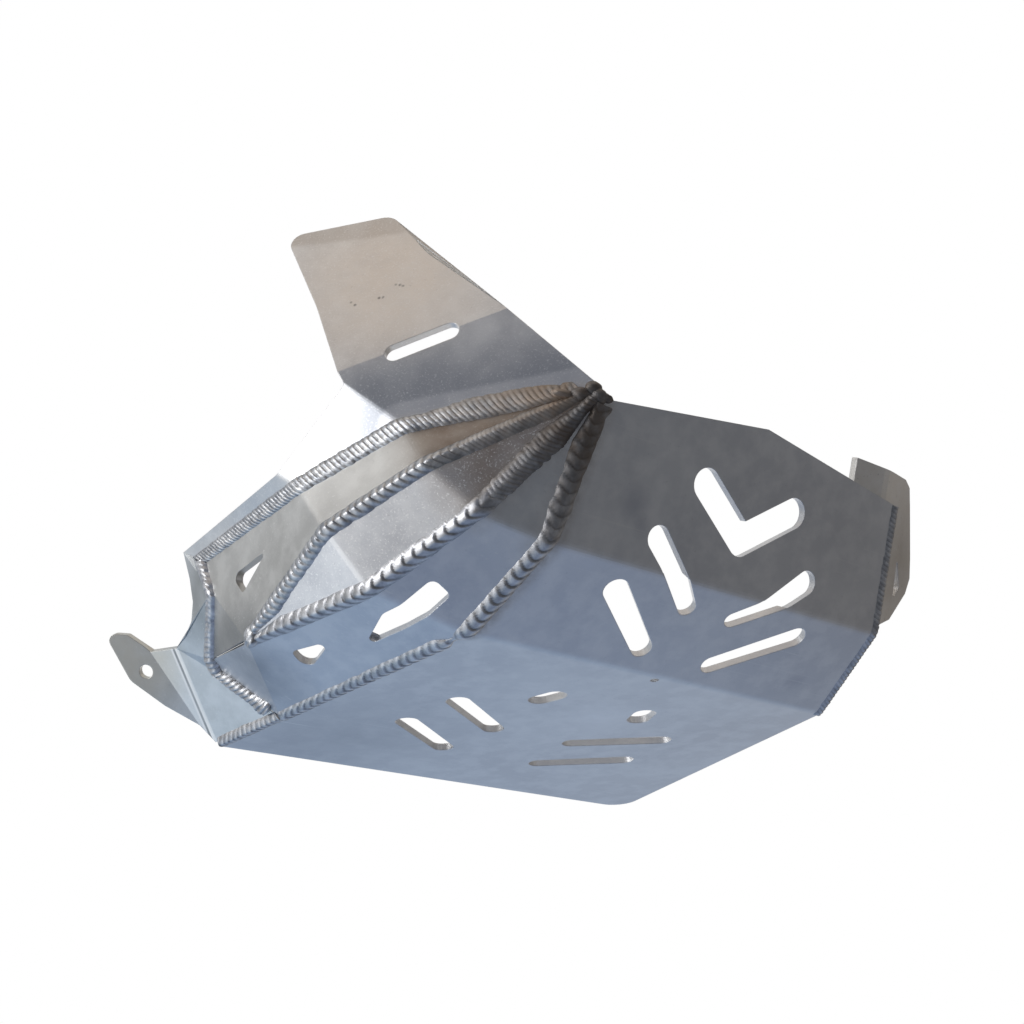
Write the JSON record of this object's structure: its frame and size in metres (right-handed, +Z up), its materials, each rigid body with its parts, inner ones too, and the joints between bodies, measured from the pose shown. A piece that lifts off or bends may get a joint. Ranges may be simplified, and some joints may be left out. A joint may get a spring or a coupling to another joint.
{
  "type": "motorcycle skid plate",
  "caption": "Welded aluminium skid plate for an off-road motorcycle: slotted belly pan, faceted pipe guard with a tall strap tongue, and a side bracket.",
  "frame": {"origin": "middle of the line between the pan's two rear corners, on the belly's outer face", "axes": "+X to the rider's right, +Y forward, +Z up; the belly's outer face lies at Z = 0 and faces -Z"},
  "size_m": [0.3628, 0.2971, 0.2528],
  "materials": {
    "pan_sheet": "rolled sheet, lightly scuffed",
    "guard_sheet": "rolled sheet, lightly scuffed",
    "bright_sheet": "bright mill finish with fine speckle",
    "grey_sheet": "dull grey-beige mill finish",
    "wing_sheet": "mill finish, warm grey",
    "end_sheet": "rolled sheet, pale blue grey",
    "bracket_sheet": "dull brown-grey sheet",
    "weld": "rippled bead with brown heat tint near the rear corner"
  },
  "bodies": {
    "root": {"belly_pan": "pan_sheet", "guard_lower_strip": "guard_sheet", "guard_middle_strip": "bright_sheet", "guard_upper_strip": "grey_sheet", "guard_wing": "wing_sheet", "front_end_plate": "end_sheet", "right_bracket": "bracket_sheet", "belly_seam_weld": "weld", "lower_seam_weld": "weld", "upper_seam_weld": "weld", "wing_seam_weld": "weld", "end_plate_weld": "weld", "end_seam_weld": "weld", "right_edge_weld": "weld"}
  },
  "joints": []
}
